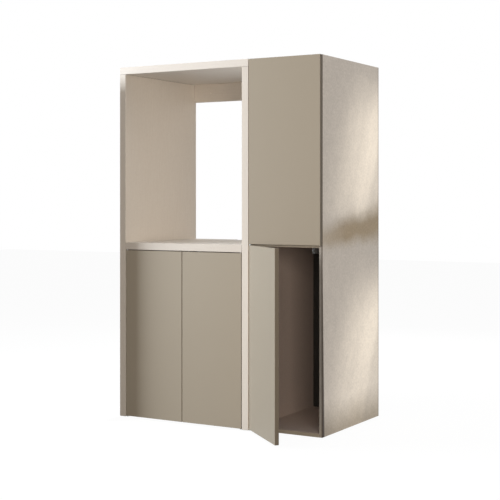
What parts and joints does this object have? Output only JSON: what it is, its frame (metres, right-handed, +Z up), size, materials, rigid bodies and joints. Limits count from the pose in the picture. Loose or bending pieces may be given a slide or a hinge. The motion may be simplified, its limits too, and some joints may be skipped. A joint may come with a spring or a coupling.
{
  "type": "washing machine cabinet",
  "caption": "Lacquered laundry cabinet: an open niche for a washing machine over a cupboard, beside a tall column with push-to-open doors and a metal-finished side",
  "frame": {"origin": "on the floor, in the middle of the footprint in X and Y, counting the open lower column door", "axes": "+Z up, the front faces -Y, the column with the metal-finished side is at +X"},
  "size_m": [1.1614, 0.9226, 1.81],
  "materials": {
    "frame_lacquer": "cream matt lacquer, faintly textured",
    "door_lacquer": "taupe matt lacquer",
    "metal_lacquer": "champagne metal lacquer, clouded, with a fine grain",
    "melamine": "greige matt melamine",
    "back_melamine": "near-black matt melamine",
    "steel": "zinc-plated steel",
    "nylon": "natural nylon",
    "grey_plastic": "moulded dark grey plastic",
    "black_plastic": "moulded black plastic"
  },
  "bodies": {
    "cabinet": {"base_board": "melamine", "column_back": "back_melamine", "column_bottom": "melamine", "column_divider": "melamine", "column_end_panel": "metal_lacquer", "column_foot_plate": "steel", "column_left_side": "melamine", "column_middle_plate": "steel", "column_shelf": "melamine", "column_shelf_pin_left_front": "steel", "column_shelf_pin_left_rear": "steel", "column_shelf_pin_right_front": "steel", "column_shelf_pin_right_rear": "steel", "column_top": "melamine", "column_top_plate": "steel", "cupboard_back": "melamine", "cupboard_shelf": "melamine", "cupboard_shelf_pin_left_front": "steel", "cupboard_shelf_pin_left_rear": "steel", "cupboard_shelf_pin_right_front": "steel", "cupboard_shelf_pin_right_rear": "steel", "foot_left_front": "black_plastic", "foot_left_rear": "black_plastic", "foot_middle_front": "black_plastic", "foot_middle_rear": "black_plastic", "foot_right_front": "black_plastic", "foot_right_rear": "black_plastic", "frame_left_side": "frame_lacquer", "frame_right_side": "frame_lacquer", "frame_top": "frame_lacquer", "left_door_foot_plate": "steel", "left_door_latch": "grey_plastic", "left_door_top_plate": "steel", "lower_column_door_latch": "grey_plastic", "machine_shelf": "frame_lacquer", "niche_back_rail": "frame_lacquer", "right_door_foot_plate": "steel", "right_door_latch": "grey_plastic", "right_door_top_plate": "steel", "upper_column_door_latch": "grey_plastic"},
    "left_door": {"left_door": "door_lacquer", "left_door_foot_bush": "nylon", "left_door_top_bush": "nylon", "left_door_strike": "steel"},
    "left_door_plunger": {"left_door_plunger": "black_plastic"},
    "right_door": {"right_door": "door_lacquer", "right_door_foot_bush": "nylon", "right_door_top_bush": "nylon", "right_door_strike": "steel"},
    "right_door_plunger": {"right_door_plunger": "black_plastic"},
    "upper_column_door": {"upper_column_door": "door_lacquer", "upper_column_door_foot_bush": "nylon", "upper_column_door_top_bush": "nylon", "upper_column_door_strike": "steel"},
    "upper_column_door_plunger": {"upper_column_door_plunger": "black_plastic"},
    "lower_column_door": {"lower_column_door": "door_lacquer", "lower_column_door_foot_bush": "nylon", "lower_column_door_top_bush": "nylon", "lower_column_door_strike": "steel"},
    "lower_column_door_plunger": {"lower_column_door_plunger": "black_plastic"}
  },
  "joints": [
    {"name": "left_door_hinge", "type": "hinge", "parent": "cabinet", "child": "left_door", "pos_m": [-0.53523, -0.20186, 0.438], "axis": [0, 0, -1], "range_deg": [0, 90]},
    {"name": "right_door_hinge", "type": "hinge", "parent": "cabinet", "child": "right_door", "pos_m": [0.14373, -0.20186, 0.438], "axis": [0, 0, 1], "range_deg": [0, 90]},
    {"name": "upper_column_door_hinge", "type": "hinge", "parent": "cabinet", "child": "upper_column_door", "pos_m": [0.19877, -0.20186, 1.3595], "axis": [0, 0, -1], "range_deg": [0, 90]},
    {"name": "lower_column_door_hinge", "type": "hinge", "parent": "cabinet", "child": "lower_column_door", "pos_m": [0.19877, -0.20186, 0.4575], "axis": [0, 0, -1], "range_deg": [-42, 48]},
    {"name": "left_door_plunger_slide", "type": "slide", "parent": "cabinet", "child": "left_door_plunger", "axis": [0, 1, 0], "range_m": [0, 0.003], "stiffness_N_per_m": 200},
    {"name": "right_door_plunger_slide", "type": "slide", "parent": "cabinet", "child": "right_door_plunger", "axis": [0, 1, 0], "range_m": [0, 0.003], "stiffness_N_per_m": 200},
    {"name": "upper_column_door_plunger_slide", "type": "slide", "parent": "cabinet", "child": "upper_column_door_plunger", "axis": [0, 1, 0], "range_m": [0, 0.003], "stiffness_N_per_m": 200},
    {"name": "lower_column_door_plunger_slide", "type": "slide", "parent": "cabinet", "child": "lower_column_door_plunger", "axis": [0, 1, 0], "range_m": [0, 0.003], "stiffness_N_per_m": 200}
  ]
}
